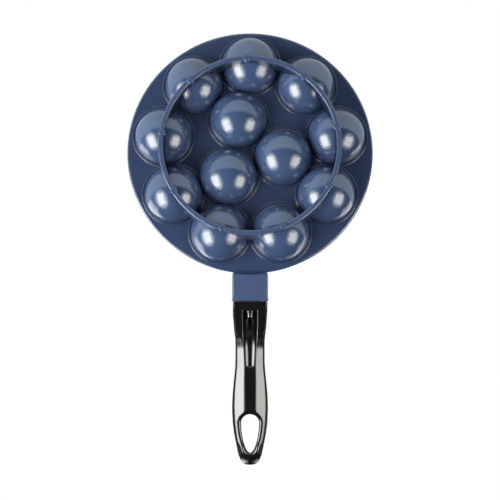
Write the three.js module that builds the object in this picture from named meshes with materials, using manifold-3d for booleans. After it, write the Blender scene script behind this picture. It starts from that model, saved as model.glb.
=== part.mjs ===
// Paniyaram pan: a die-cast pan with twelve round cups that hang under a rimmed plate and a ring
// that the pan stands on, carried by a moulded handle on a single screw.
// Millimetres, +Z up. The pan stands on its ring at z = 0, the handle points along -Y, and the
// origin is under the middle of the whole pan.
import * as THREE from "three";
import { mergeVertices } from "three/addons/utils/BufferGeometryUtils.js";
import Module from "manifold-3d";

const wasm = await Module();
wasm.setup();

// Sizes of the casting: plate and rim
const plateRadius = 115;
const plateThickness = 3;
const rimHeight = 10;
const rimWall = 3;
const rimDraft = 0.3;
const edgeRadius = 2;
const rimCornerRadius = 3;
const standHeight = 31;

// Sizes of the casting: cups and the step round each one, with their plan tied to the plate
const cupRadiusShare = 0.21174;
const outerPitchShare = 0.71391;
const innerPitchShare = 0.27652;
const cupWall = 3;
const cupCentreRise = 2;
const cupMouthChamfer = 0.8;
const outerCups = 9;
const innerCups = 3;
const outerFirstDegrees = 90;
const innerFirstDegrees = 70;
const collarWidth = 2.1;
const collarHeight = 1.2;
const collarSlope = 0.6;

// Sizes of the casting: the ring it stands on, with a round foot under each outer cup
const ringRadiusShare = 0.73043;
const ringWidth = 5.2;
const ringDraft = 0.5;
const ringChamfer = 0.7;
const footRadius = 3.4;
const footRise = 0.8;
const footTurnDegrees = -2;

// Sizes of the casting: the tang that carries the handle
const tangWidth = 19;
const tangThickness = 7.4;
const tangCorner = 1.85;
const tangIntoNose = 4.5;

// Sizes of the guard, the metal sleeve between the rim and the handle
const guardLength = 25.2;
const guardWidth = 33;
const guardHeight = 13.6;
const guardDrop = 4.5;
const guardCorner = 3;
const guardLipLength = 2.4;
const guardLipProud = 0.4;
const screwAxisShare = 0.45;

// Sizes of the screw and its washers
const screwRadius = 2.5;
const screwLength = 20;
const headRadius = 4.4;
const headHeight = 3.2;
const headEdge = 0.9;
const slotWidth = 1.2;
const slotDepth = 1.4;
const washerRadius = 5;
const washerThickness = 1;
const springRadius = 4.4;
const springThickness = 1.3;
const springGap = 1.1;

// Sizes of the handle
const handleLength = 148.5;
const handleWidth = 33.4;
const handleDepth = 14;
const noseWall = 4;
const grooveRadius = 6.2;
const grooveEnd = 60.5;
const hangHoleWidth = 16.4;
const hangHoleLength = 34.5;
const hangHoleFromTip = 11.4;
const hangHoleTaperShare = 0.52;
const hangHoleChamfer = 3.1;
const chamferDepthShare = 0.55;
const slopeRunShare = 0.05;

// Clearances
const seat = 0.3;
const screwClearance = 0.4;
const overrun = 2;

// Fineness of the round forms
const cupSides = 20;
const cupRings = 5;
const rimSides = 72;
const smallSides = 24;
const edgeSteps = 2;
const rimSteps = 4;
const guardSteps = 4;
const headSteps = 3;
const holeSteps = 10;
const weldShare = 1e-6;

// Places worked out from the sizes
const degree = Math.PI / 180;
const cupRadius = plateRadius * cupRadiusShare;
const outerPitchRadius = plateRadius * outerPitchShare;
const innerPitchRadius = plateRadius * innerPitchShare;
const ringRadius = plateRadius * ringRadiusShare;
const plateTop = standHeight + plateThickness;
const rimTop = standHeight + rimHeight;
const domeRadius = cupRadius + cupWall;
const cupCentre = standHeight + cupCentreRise;
const guardUnder = standHeight - guardDrop;
const screwAxis = guardUnder + guardHeight * screwAxisShare;
const guardStart = plateRadius + rimDraft + seat;
const handleStart = guardStart + guardLength + seat;
const tangEnd = handleStart + tangIntoNose;
const washerSeat = tangEnd + seat + noseWall;
const overallLength = plateRadius + rimDraft + handleStart + handleLength;
const panCentreY = overallLength / 2 - plateRadius - rimDraft;

// One closed solid from a three.js geometry, placed by a matrix.
function solid(geometry, matrix = new THREE.Matrix4()) {
  const g = geometry.clone();
  for (const name of ["normal", "uv"]) g.deleteAttribute(name);
  g.applyMatrix4(matrix);
  const size = new THREE.Box3().setFromBufferAttribute(g.attributes.position);
  const weld = size.getSize(new THREE.Vector3()).length() * weldShare;
  const merged = mergeVertices(g, weld);
  const triVerts = new Uint32Array(merged.index.array);
  const vertProperties = new Float32Array(merged.attributes.position.array);
  return new wasm.Manifold(new wasm.Mesh({ numProp: 3, vertProperties, triVerts }));
}

// A matrix that moves by x, y and z after it turns about the three axes in degrees.
function place(x, y, z, turnX = 0, turnY = 0, turnZ = 0) {
  const turn = new THREE.Euler(turnX * degree, turnY * degree, turnZ * degree, "ZYX");
  return new THREE.Matrix4().makeRotationFromEuler(turn).setPosition(x, y, z);
}

// A solid of revolution about the Z axis from points of radius and height.
function revolve(points, sides) {
  const profile = points.map(([r, z]) => new THREE.Vector2(r, z));
  return new THREE.LatheGeometry(profile, sides).rotateX(Math.PI / 2);
}

// Points along a quarter of a circle, from one angle to another, in degrees.
function arc(r, z, radius, from, to, steps) {
  return Array.from({ length: steps + 1 }, (_, i) => {
    const a = (from + ((to - from) * i) / steps) * degree;
    return [r + radius * Math.cos(a), z + radius * Math.sin(a)];
  });
}

// An outline pushed up along Z from zero to a height.
function prism(shape, height, curveSegments) {
  return new THREE.ExtrudeGeometry(shape, { depth: height, bevelEnabled: false, curveSegments });
}

function roundedRectangle(width, height, radius) {
  const w = width / 2 - radius;
  const h = height / 2 - radius;
  const shape = new THREE.Shape();
  shape.absarc(w, h, radius, 0, Math.PI / 2);
  shape.absarc(-w, h, radius, Math.PI / 2, Math.PI);
  shape.absarc(-w, -h, radius, Math.PI, Math.PI * 1.5);
  shape.absarc(w, -h, radius, Math.PI * 1.5, Math.PI * 2);
  return shape;
}

function mesh(name, manifold, material) {
  const { vertProperties, triVerts } = manifold.getMesh();
  const geometry = new THREE.BufferGeometry();
  geometry.setAttribute("position", new THREE.BufferAttribute(vertProperties, 3));
  geometry.setIndex(new THREE.BufferAttribute(triVerts, 1));
  geometry.computeVertexNormals();
  const made = new THREE.Mesh(geometry, material);
  made.name = name;
  return made;
}

// Where each cup hangs: a ring of outer cups and a smaller ring of inner ones.
function cupPlaces() {
  const places = [];
  for (let i = 0; i < outerCups; i++) {
    places.push([outerPitchRadius, (outerFirstDegrees + (360 * i) / outerCups) * degree]);
  }
  for (let i = 0; i < innerCups; i++) {
    places.push([innerPitchRadius, (innerFirstDegrees + (360 * i) / innerCups) * degree]);
  }
  return places.map(([r, a]) => [r * Math.cos(a), r * Math.sin(a), a / degree]);
}

// The plate with its raised rim, revolved about the pan's axis.
function plateAndRim() {
  const inner = plateRadius - rimWall;
  const half = rimWall / 2;
  return solid(
    revolve(
      [
        [0, standHeight],
        ...arc(plateRadius - edgeRadius, standHeight + edgeRadius, edgeRadius, -90, 0, edgeSteps),
        ...arc(plateRadius + rimDraft - half, rimTop - half, half, 0, 180, rimSteps),
        ...arc(inner - rimCornerRadius, plateTop + rimCornerRadius, rimCornerRadius, 0, -90, edgeSteps),
        [0, plateTop],
      ],
      rimSides,
    ),
  );
}

// The outside of one cup: a dome under the plate that springs from a low step.
function dome() {
  const spring = Math.asin((cupCentreRise + collarHeight) / domeRadius) / degree;
  const step = domeRadius + collarWidth;
  return solid(
    revolve(
      [
        ...arc(0, cupCentreRise, domeRadius, -90, -spring, cupRings),
        [step - collarSlope, -collarHeight],
        [step, 0],
        [step, plateThickness / 2],
        [0, plateThickness / 2],
      ],
      cupSides,
    ),
  );
}

// The hollow of one cup, with a chamfered mouth, cut past the top of the plate.
function hollow() {
  const mouth = plateThickness - cupCentreRise;
  return solid(
    revolve(
      [
        ...arc(0, 0, cupRadius, -90, 0, cupRings),
        [cupRadius, mouth - cupMouthChamfer],
        [cupRadius + cupMouthChamfer, mouth],
        [cupRadius + cupMouthChamfer, mouth + overrun],
        [0, mouth + overrun],
      ],
      cupSides,
    ),
  );
}

// The ring that the pan stands on. Its wall narrows towards the free end.
function standRing() {
  const inner = ringRadius - ringWidth;
  const end = footRise;
  const root = standHeight + plateThickness / 2;
  return solid(
    revolve(
      [
        [inner + ringChamfer, end],
        [ringRadius - ringChamfer, end],
        [ringRadius, end + ringChamfer],
        [ringRadius + ringDraft, root],
        [inner - ringDraft, root],
        [inner, end + ringChamfer],
        [inner + ringChamfer, end],
      ],
      rimSides,
    ),
  );
}

function ringFoot() {
  return solid(
    revolve(
      [
        [0, 0],
        [footRadius - ringChamfer, 0],
        [footRadius, ringChamfer],
        [footRadius, cupCentre - domeRadius + cupWall / 2],
        [0, cupCentre - domeRadius + cupWall / 2],
      ],
      smallSides / 2,
    ),
  );
}

// The tongue that reaches from the rim through the guard into the handle's nose.
function tang() {
  const root = plateRadius - rimWall / 2;
  const section = roundedRectangle(tangWidth, tangThickness, tangCorner);
  return solid(prism(section, tangEnd - root, edgeSteps), place(0, -root, screwAxis, 90));
}

function panCasting() {
  let casting = plateAndRim().add(standRing()).add(tang());
  const middle = ringRadius - ringWidth / 2;
  for (const [x, y, turn] of cupPlaces()) {
    casting = casting.add(dome().transform(matrixOf(place(x, y, standHeight, 0, 0, turn))));
  }
  for (let i = 0; i < outerCups; i++) {
    const a = (outerFirstDegrees + footTurnDegrees + (360 * i) / outerCups) * degree;
    const at = place(middle * Math.cos(a), middle * Math.sin(a), 0);
    casting = casting.add(ringFoot().transform(matrixOf(at)));
  }
  for (const [x, y, turn] of cupPlaces()) {
    casting = casting.subtract(hollow().transform(matrixOf(place(x, y, cupCentre, 0, 0, turn))));
  }
  return casting.subtract(screwBore());
}

// The elements of a matrix in the order that a transform takes them.
function matrixOf(matrix) {
  return matrix.toArray();
}

// The hole in the tang for the screw, open at the tang's end.
function screwBore() {
  const depth = screwLength - noseWall + overrun;
  const radius = screwRadius + seat;
  const bore = new THREE.CylinderGeometry(radius, radius, depth + overrun, smallSides);
  return solid(bore, place(0, -(tangEnd - (depth - overrun) / 2), screwAxis));
}

// The room for the tang: its own section with a seat all round.
function tangRoom(length) {
  const section = roundedRectangle(
    tangWidth + 2 * seat, tangThickness + 2 * seat, tangCorner + seat,
  );
  return prism(section, length, edgeSteps);
}

// The guard: a sleeve over the tang, hollowed to the rim in front and lipped at the handle.
function guard() {
  const middle = guardUnder + guardHeight / 2;
  const halfWidth = guardWidth / 2;
  const arcDepth = plateRadius - Math.sqrt(plateRadius ** 2 - halfWidth ** 2);
  const front = guardStart - arcDepth - overrun;
  const end = guardStart + guardLength;
  const section = roundedRectangle(guardWidth, guardHeight, guardCorner);
  const lipSection = roundedRectangle(
    guardWidth + 2 * guardLipProud, guardHeight + 2 * guardLipProud, guardCorner + guardLipProud,
  );
  const sleeve = prism(section, end - front, guardSteps);
  const lip = prism(lipSection, guardLipLength, guardSteps);
  const room = tangRoom(end - front + 2 * overrun);
  const rim = new THREE.CylinderGeometry(
    guardStart, guardStart, guardHeight + 2 * overrun, rimSides,
  );
  return solid(sleeve, place(0, -front, middle, 90))
    .add(solid(lip, place(0, guardLipLength - end, middle, 90)))
    .subtract(solid(rim, place(0, 0, middle, 90)))
    .subtract(solid(room, place(0, overrun - front, screwAxis, 90)));
}

// One row for each section of the handle: how far along, half the width, the flat of the
// underside against that half, the fall of the side facets, and the heights of the underside
// and of the top above the guard's underside.
const handleSectionShares = [
  [0, 0.99, 0.86, 0.1, 0, 1],
  [0.08, 0.95, 0.88, 0.1, -0.01, 1.07],
  [0.19, 0.87, 0.88, 0.1, 0.01, 1.2],
  [0.235, 0.82, 0.62, 0.16, 0.22, 1.3],
  [0.28, 0.81, 0.44, 0.26, 0.47, 1.4],
  [0.38, 0.82, 0.44, 0.3, 0.68, 1.68],
  [0.5, 0.92, 0.4, 0.32, 0.92, 2.06],
  [0.58, 0.98, 0.36, 0.33, 1.06, 2.28],
  [0.65, 1, 0.35, 0.33, 1.17, 2.42],
  [0.72, 0.98, 0.36, 0.32, 1.28, 2.52],
  [0.8, 0.9, 0.4, 0.3, 1.42, 2.56],
  [0.87, 0.78, 0.44, 0.26, 1.58, 2.52],
  [0.93, 0.66, 0.48, 0.22, 1.76, 2.44],
  [0.968, 0.54, 0.5, 0.16, 1.91, 2.34],
  [0.99, 0.38, 0.5, 0.1, 2.03, 2.24],
  [1, 0.16, 0.5, 0.06, 2.1, 2.18],
];

// The most of a section's height that its facets fall, where the facets end across it, where
// the side bends, and the roundness of the crown.
const facetFallShare = 0.35;
const facetEdgeShare = 0.93;
const sideBendShare = 0.4;
const crownTurns = [22, 45, 68];
const crownWidthPower = 0.75;
const crownHeightPower = 0.85;

// One half section's points, from the middle of the underside round to the middle of the top.
function handleSection([, widthShare, flatShare, facetShare, underShare, topShare]) {
  const half = (handleWidth / 2) * widthShare;
  const under = guardUnder + handleDepth * underShare;
  const top = guardUnder + handleDepth * topShare;
  const facet = Math.min(handleDepth * facetShare, (top - under) * facetFallShare);
  const middle = (under + facet + top) / 2;
  const crown = top - middle;
  const points = [
    [0, under],
    [half * flatShare, under],
    [half * facetEdgeShare, under + facet],
    [half, under + facet + (middle - under - facet) * sideBendShare],
    [half, middle],
  ];
  for (const turn of crownTurns) {
    const across = Math.cos(turn * degree) ** crownWidthPower;
    const up = Math.sin(turn * degree) ** crownHeightPower;
    points.push([half * across, middle + crown * up]);
  }
  points.push([0, top]);
  return points;
}

// The handle's solid form, lofted through its sections.
function handleLoft() {
  const rows = handleSectionShares.map((shares) => {
    const y = -(handleStart + handleLength * shares[0]);
    const half = handleSection(shares);
    const left = half.slice(1, -1).reverse().map(([x, z]) => [-x, z]);
    return [...half, ...left].map(([x, z]) => new THREE.Vector3(x, y, z));
  });
  const count = rows[0].length;
  const points = rows.flat();
  const faces = [];
  for (let r = 0; r + 1 < rows.length; r++) {
    for (let i = 0; i < count; i++) {
      const a = r * count + i;
      const b = r * count + ((i + 1) % count);
      faces.push(a, b, a + count, b, b + count, a + count);
    }
  }
  const last = (rows.length - 1) * count;
  for (let i = 1; i + 1 < count; i++) {
    faces.push(0, i + 1, i, last, last + i, last + i + 1);
  }
  const geometry = new THREE.BufferGeometry().setFromPoints(points);
  geometry.setIndex(faces);
  return solid(geometry);
}

// The teardrop outline of the hang hole, wide towards the pan.
function teardrop() {
  const wide = hangHoleWidth / 2;
  const narrow = wide * hangHoleTaperShare;
  const shape = new THREE.Shape();
  shape.absarc(0, hangHoleLength / 2 - wide, wide, 0, Math.PI);
  shape.absarc(0, narrow - hangHoleLength / 2, narrow, Math.PI, Math.PI * 2);
  return shape;
}

// The hang hole: a straight teardrop with a chamfer at each face of the handle.
function hangHole() {
  const middle = handleStart + handleLength - hangHoleFromTip - hangHoleLength / 2;
  const along = (middle - handleStart) / handleLength;
  const [under, top] = faceHeights(along);
  const [underBefore, topBefore] = faceHeights(along - slopeRunShare);
  const run = handleLength * slopeRunShare;
  const underTurn = Math.atan((under - underBefore) / run) / degree;
  const topTurn = Math.atan((top - topBefore) / run) / degree;
  const reach = top - under + hangHoleLength;
  const start = (under + top - reach) / 2;
  return solid(prism(teardrop(), reach, holeSteps), place(0, -middle, start))
    .add(flare(-middle, under, underTurn, -overrun))
    .add(flare(-middle, top, topTurn, 0));
}

// The flared mouth of the hang hole at one face: a teardrop that narrows both ways from its
// widest, which lies at the face and reaches past it.
function flare(y, z, turn, back) {
  const geometry = new THREE.ExtrudeGeometry(teardrop(), {
    depth: overrun,
    bevelEnabled: true,
    bevelSegments: 1,
    bevelSize: hangHoleChamfer,
    bevelThickness: hangHoleChamfer * chamferDepthShare,
    curveSegments: holeSteps,
  });
  return solid(geometry, place(0, y, z, -turn).multiply(place(0, 0, back)));
}

// The heights of the handle's underside and top at a share of its length.
function faceHeights(along) {
  const next = handleSectionShares.findIndex((row) => row[0] >= along);
  const [a, b] = [handleSectionShares[next - 1], handleSectionShares[next]];
  const t = (along - a[0]) / (b[0] - a[0]);
  return [4, 5].map((k) => guardUnder + handleDepth * (a[k] + (b[k] - a[k]) * t));
}

// The groove that lets a screwdriver reach the screw: half round above the screw's axis,
// straight below it, from the washer's seat to its square end under the grip.
function driverGroove() {
  const length = grooveEnd - (washerSeat - handleStart);
  const shape = new THREE.Shape();
  shape.absarc(0, 0, grooveRadius, 0, Math.PI);
  shape.lineTo(-grooveRadius - seat, -guardHeight);
  shape.lineTo(grooveRadius + seat, -guardHeight);
  return solid(prism(shape, length, holeSteps), place(0, -washerSeat, screwAxis, 90));
}

// The socket in the handle's nose that the tang enters, and the hole for the screw.
function noseSocket() {
  const depth = tangIntoNose + seat + overrun;
  const radius = screwRadius + screwClearance;
  const hole = new THREE.CylinderGeometry(radius, radius, noseWall + 2 * overrun, smallSides);
  return solid(tangRoom(depth), place(0, overrun - handleStart, screwAxis, 90))
    .add(solid(hole, place(0, -(tangEnd + seat + noseWall / 2), screwAxis)));
}

function handle() {
  return handleLoft().subtract(driverGroove()).subtract(noseSocket()).subtract(hangHole());
}

// The screw: a slotted round head and a plain shank into the tang.
function handleScrew() {
  const under = washerThickness + springThickness + 3 * seat;
  const head = revolve(
    [
      [0, -(screwLength - under)],
      [screwRadius, -(screwLength - under)],
      [screwRadius, 0],
      [headRadius, 0],
      ...arc(headRadius - headEdge, headHeight - headEdge, headEdge, 0, 90, headSteps),
      [0, headHeight],
    ],
    smallSides,
  );
  const slot = new THREE.BoxGeometry(slotWidth, 2 * headRadius + overrun, 2 * slotDepth);
  const made = solid(head)
    .subtract(solid(slot, place(0, 0, headHeight)))
    .subtract(solid(slot, place(0, 0, headHeight, 0, 0, 90)));
  return made.transform(matrixOf(place(0, -(washerSeat + under), screwAxis, 90)));
}

function ringOf(radius, thickness) {
  const bore = screwRadius + screwClearance;
  return solid(
    revolve([[bore, 0], [radius, 0], [radius, thickness], [bore, thickness], [bore, 0]], smallSides),
  );
}

function flatWasher() {
  const at = place(0, -(washerSeat + seat), screwAxis, 90);
  return ringOf(washerRadius, washerThickness).transform(matrixOf(at));
}

// The spring washer is split, so its ring is open at one place.
function springWasher() {
  const cut = new THREE.BoxGeometry(springRadius, springGap, 2 * (springThickness + overrun));
  const at = place(0, -(washerSeat + washerThickness + 2 * seat), screwAxis, 90);
  return ringOf(springRadius, springThickness)
    .subtract(solid(cut, place(screwRadius + springRadius / 2, 0, 0)))
    .transform(matrixOf(at));
}

const coating = new THREE.MeshStandardMaterial({ color: 0x3a4c70, roughness: 0.38, metalness: 0.25 });
const phenolic = new THREE.MeshStandardMaterial({ color: 0x0b0b0c, roughness: 0.18 });
const steel = new THREE.MeshStandardMaterial({ color: 0xb9bbbd, roughness: 0.3, metalness: 1 });

const pan = new THREE.Group();
pan.position.y = panCentreY;
pan.add(
  mesh("pan_casting", panCasting(), coating),
  mesh("handle_guard", guard(), coating),
  mesh("handle", handle(), phenolic),
  mesh("handle_screw", handleScrew(), steel),
  mesh("flat_washer", flatWasher(), steel),
  mesh("spring_washer", springWasher(), steel),
);

export default pan;
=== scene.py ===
# %% [markdown]
# # A paniyaram pan, seen from below
# The real pan is one aluminium casting with twelve round cups, coated navy blue all over. A short
# blue sleeve and a black handle are held on its tang by one screw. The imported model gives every
# size and place, so each piece here is built in the same frame, in metres, round those solids.
# The camera looks up at the underside, because that is the side a buyer sees in a shop picture.

import math

import bpy
from mathutils import Matrix, Vector


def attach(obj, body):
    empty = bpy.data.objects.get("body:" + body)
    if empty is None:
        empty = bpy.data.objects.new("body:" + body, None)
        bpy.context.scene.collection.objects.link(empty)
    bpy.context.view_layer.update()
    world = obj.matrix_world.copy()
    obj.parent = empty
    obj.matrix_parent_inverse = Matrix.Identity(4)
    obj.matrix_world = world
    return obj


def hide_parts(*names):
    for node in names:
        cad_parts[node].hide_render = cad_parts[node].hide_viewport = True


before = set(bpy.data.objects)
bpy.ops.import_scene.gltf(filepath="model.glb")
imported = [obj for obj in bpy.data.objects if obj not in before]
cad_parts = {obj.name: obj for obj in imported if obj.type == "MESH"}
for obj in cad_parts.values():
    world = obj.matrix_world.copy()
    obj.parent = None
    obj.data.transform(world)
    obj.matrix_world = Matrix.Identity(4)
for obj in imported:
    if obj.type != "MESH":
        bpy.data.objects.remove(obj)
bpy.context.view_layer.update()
mm = 0.001
touching = 1e-6

# %% [markdown]
# ## The camera
# The pan is photographed almost square on, a little from the handle's side, with a long lens from
# a little over a metre away. A long lens keeps the far cups nearly as large as the near ones.

# %% Place the camera under the pan
camera_place = Vector((0.04, -180.8, -1142.3)) * mm
camera_tilt = math.radians(188.469)
camera_lens, camera_sensor = 92.36, 36
nearest, furthest = 0.05, 20
bpy.ops.object.select_all(action="DESELECT")
bpy.ops.object.camera_add(location=camera_place, rotation=(camera_tilt, 0, math.pi))
camera = bpy.context.object
camera.name = "camera"
camera.data.lens = camera_lens
camera.data.sensor_width = camera_sensor
camera.data.clip_start = nearest
camera.data.clip_end = furthest
bpy.context.scene.camera = camera
print("Camera looks along", [round(v, 3) for v in camera.matrix_basis.to_3x3() @ Vector((0, 0, -1))])

# %% [markdown]
# ## A maker's hands
# Every operator acts on what is selected, so each step starts by clearing the selection. The
# helpers below do what a modeller's hands do: pick one piece, pick the points that lie at a
# place, and apply a modifier.


# %% Helpers for choosing and finishing
def leave_edit():
    """Goes back from edit mode to object mode."""
    bpy.ops.object.mode_set(mode="OBJECT")


def choose(*pieces):
    """Selects these objects only, with the first one active."""
    if bpy.context.object and bpy.context.object.mode != "OBJECT":
        leave_edit()
    bpy.ops.object.select_all(action="DESELECT")
    for piece in pieces:
        piece.select_set(True)
    bpy.context.view_layer.objects.active = pieces[0]


def pick(piece, test, what="vertices"):
    """In edit mode, selects the vertices, edges or faces whose middle passes the test."""
    leave_edit()
    data = piece.data
    spots = {
        "vertices": lambda v: v.co,
        "edges": lambda e: (data.vertices[e.vertices[0]].co + data.vertices[e.vertices[1]].co) / 2,
        "polygons": lambda p: p.center,
    }
    bpy.context.tool_settings.mesh_select_mode = [kind == what for kind in spots]
    for kind in spots:
        for item in getattr(data, kind):
            item.select = kind == what and test(item, spots[what](item))
    bpy.ops.object.mode_set(mode="EDIT")


def face_outwards():
    """In edit mode, merges doubles and turns every face outwards."""
    bpy.ops.mesh.select_all(action="SELECT")
    bpy.ops.mesh.remove_doubles(threshold=touching)
    bpy.ops.mesh.normals_make_consistent(inside=False)


def apply(piece, kind, **settings):
    """Adds one modifier with its settings and applies it."""
    choose(piece)
    modifier = piece.modifiers.new(kind.lower(), kind)
    for key, value in settings.items():
        setattr(modifier, key, value)
    bpy.ops.object.modifier_apply(modifier=modifier.name)


def combine(piece, other, how):
    """Joins another closed form to a piece, or cuts it out, and deletes the other."""
    apply(piece, "BOOLEAN", object=other, operation=how, solver="MANIFOLD")
    bpy.data.objects.remove(other, do_unlink=True)


def smooth(piece, degrees):
    """Shades a piece smooth, apart from edges sharper than this, and keeps flats flat."""
    choose(piece)
    bpy.ops.object.shade_smooth_by_angle(angle=math.radians(degrees))
    apply(piece, "WEIGHTED_NORMAL", mode="FACE_AREA", weight=100, keep_sharp=True)


def tell(words, piece):
    """Prints what was made and its number of faces."""
    print(words + ":", len(piece.data.polygons), "faces")


# %% [markdown]
# ## Turned forms
# Cups, rings and washers are round, so they start as one circle. The circle is extruded and
# resized ring by ring along a profile, as a potter pulls up a wall. A spin would do the same, but
# the rings let the profile be read as a list of radius and height, from one end to the other.


# %% A circle drawn out along a profile
def turned(name, profile, sides, centre=(0, 0, 0)):
    """Makes a round solid from points of radius and height in millimetres about a centre."""
    place = Vector(centre) * mm
    radius, height = profile[0]
    choose(camera)
    bpy.context.tool_settings.mesh_select_mode = [True, False, False]
    bpy.ops.mesh.primitive_circle_add(
        vertices=sides,
        radius=radius * mm,
        location=place + Vector((0, 0, height * mm)),
    )
    piece = bpy.context.object
    piece.name = name
    bpy.ops.object.transform_apply()
    bpy.ops.object.mode_set(mode="EDIT")
    bpy.ops.mesh.select_all(action="SELECT")
    for after in profile[1:]:
        step = (0, 0, (after[1] - height) * mm)
        bpy.ops.mesh.extrude_region_move(TRANSFORM_OT_translate={"value": step})
        if after[0] > 0:
            share = after[0] / radius
            middle = place + Vector((0, 0, after[1] * mm))
            bpy.ops.transform.resize(value=(share, share, 1), center_override=middle)
        else:
            bpy.ops.mesh.merge(type="CENTER")
        radius, height = after
    face_outwards()
    bpy.ops.mesh.select_all(action="DESELECT")
    bpy.ops.mesh.select_non_manifold()
    bpy.ops.mesh.edge_face_add()
    if profile[0][1] != profile[-1][1]:
        face_outwards()
    leave_edit()
    return piece


def arc(radius, height, size, start, stop, steps):
    """Points of radius and height along part of a circle, in degrees."""
    turns = [math.radians(start + (stop - start) * i / steps) for i in range(steps + 1)]
    return [(radius + size * math.cos(t), height + size * math.sin(t)) for t in turns]


# %% [markdown]
# ## The casting
# One mould makes the plate, its rim, the cups, the stand ring, its nine feet and the tang. Each
# form is made on its own, because a dome is easy to draw out alone, and then all are joined into
# one closed skin. The hollows on the cooking side are cut last, so the walls stay 3 mm thick.

# %% Sizes of the casting in millimetres
pan_centre = 87.15
plate_radius = 115
plate_under = 31
plate_top = 34
rim_top = 41
cup_radius = 24.35
cup_wall = 3
cup_centre = 33
dome_radius = cup_radius + cup_wall
outer_pitch = 82.1
inner_pitch = 31.8
cup_places = [(outer_pitch, 90 + 40 * i) for i in range(9)]
cup_places += [(inner_pitch, 70 + 120 * i) for i in range(3)]
overlap = 1.5
round_sides, cup_sides, small_sides = 192, 96, 40


def on_pan(radius, degrees, height=0):
    """A place on the pan from its distance and direction from the pan's axis."""
    turn = math.radians(degrees)
    return (radius * math.cos(turn), pan_centre + radius * math.sin(turn), height)


print("Cups:", len(cup_places), "of", 2 * dome_radius, "mm across")

# %% [markdown]
# The plate and its rim are one turned form. Its profile runs from the underside round the plate's
# edge, up the rim, over its lip and down to the cooking side, with every corner rounded by an arc.

# %% The plate and its raised rim
plate_edge = 2
rim_lean = 0.3
rim_edge = 1.5
rim_wall = 3
rim_foot = 3
casting = turned(
    "pan_casting_fine",
    [
        *arc(plate_radius - plate_edge, plate_under + plate_edge, plate_edge, -90, 0, 6),
        *arc(plate_radius + rim_lean - rim_edge, rim_top - rim_edge, rim_edge, 0, 180, 10),
        *arc(plate_radius - rim_wall - rim_foot, plate_top + rim_foot, rim_foot, 0, -90, 6),
    ],
    round_sides,
    (0, pan_centre, 0),
)
tell("Plate and rim", casting)

# %% [markdown]
# The dome doesn't meet the plate in a plain line: it springs from a low step, a collar 2 mm wide,
# whose lit edge draws a thin arc round each cup.

# %% One cup's outside, with its collar
collar_width = 2.1
collar_height = 1.2
collar_edge = 0.6
collar_turn = -115
collar_dish = 0.3
dome_sink = 0.1
dome_foot = 0.996


def cup_outside(radius, degrees):
    """A dome under the plate, with the step that it springs from."""
    x, y, _ = on_pan(radius, degrees)
    step = dome_radius + collar_width
    rounding = collar_edge - collar_height
    sunk = cup_centre - plate_under + collar_dish + dome_sink
    spring = math.degrees(math.asin(sunk / dome_radius))
    return turned(
        "cup",
        [
            (step, overlap),
            (step, rounding),
            *arc(step - collar_edge, rounding, collar_edge, 0, collar_turn, 6)[1:],
            (dome_radius * dome_foot, -collar_dish),
            *arc(0, cup_centre - plate_under, dome_radius, -spring, -90, 30)[:-1],
            (0, cup_centre - plate_under - dome_radius),
        ],
        cup_sides,
        (x, y, plate_under),
    )


for spot in cup_places:
    combine(casting, cup_outside(*spot), "UNION")
tell("With its cups", casting)

# %% [markdown]
# The stand ring is a tapered wall with rounded edges. A small round foot stands on it under each
# outer cup, a little proud of it, so the pan rests on nine points and doesn't rock.

# %% The stand ring and its feet
ring_radius = 84
ring_width = 4.6
ring_inner = ring_radius - ring_width
ring_edge = 1
ring_taper = 0.5
ring_root = plate_under + overlap
foot_rise = 0.8
foot_radius = 3.4
foot_edge = 0.6
foot_length = 6
feet_pitch, feet_turn = 81.4, 88
ring = turned(
    "ring",
    [
        (ring_radius + ring_taper, ring_root),
        *arc(ring_radius - ring_edge, foot_rise + ring_edge, ring_edge, 0, -90, 5),
        *arc(ring_inner + ring_edge, foot_rise + ring_edge, ring_edge, -90, -180, 5),
        (ring_inner - ring_taper, ring_root),
        (ring_radius + ring_taper, ring_root),
    ],
    round_sides,
    (0, pan_centre, 0),
)
combine(casting, ring, "UNION")
foot_profile = [(foot_radius, foot_length)]
foot_profile += arc(foot_radius - foot_edge, foot_edge, foot_edge, 0, -90, 5)
for i in range(9):
    foot = turned("foot", foot_profile, small_sides, on_pan(feet_pitch, feet_turn + 40 * i))
    combine(casting, foot, "UNION")
tell("With its ring and feet", casting)

# %% [markdown]
# Some forms of the pan and its handle are flat bars. Each is a box pulled to its size, with its
# four long edges beveled. Bars that are joined and bars that cut are made in the same way.


# %% A box with rounded long edges
def bar(name, low, high, corner, steps):
    """A box between two corners in millimetres, with the edges along Y rounded."""
    low, high = Vector(low) * mm, Vector(high) * mm
    choose(camera)
    bpy.ops.mesh.primitive_cube_add(size=1, location=(low + high) / 2, scale=high - low)
    piece = bpy.context.object
    piece.name = name
    bpy.ops.object.transform_apply()

    def along(edge, _):
        a, b = (piece.data.vertices[i].co for i in edge.vertices)
        return abs(a.y - b.y) > touching

    pick(piece, along, "edges")
    bpy.ops.mesh.bevel(offset=corner * mm, offset_type="OFFSET", segments=steps)
    leave_edit()
    return piece


# %% [markdown]
# The tang runs from the rim through the sleeve into the handle's nose. Where it leaves the rim, the
# casting is cut back in a narrow slot, which looks dark from below, and a neck bridges it above.
# The slot is cut before the neck is joined, so the neck stays whole.

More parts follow.
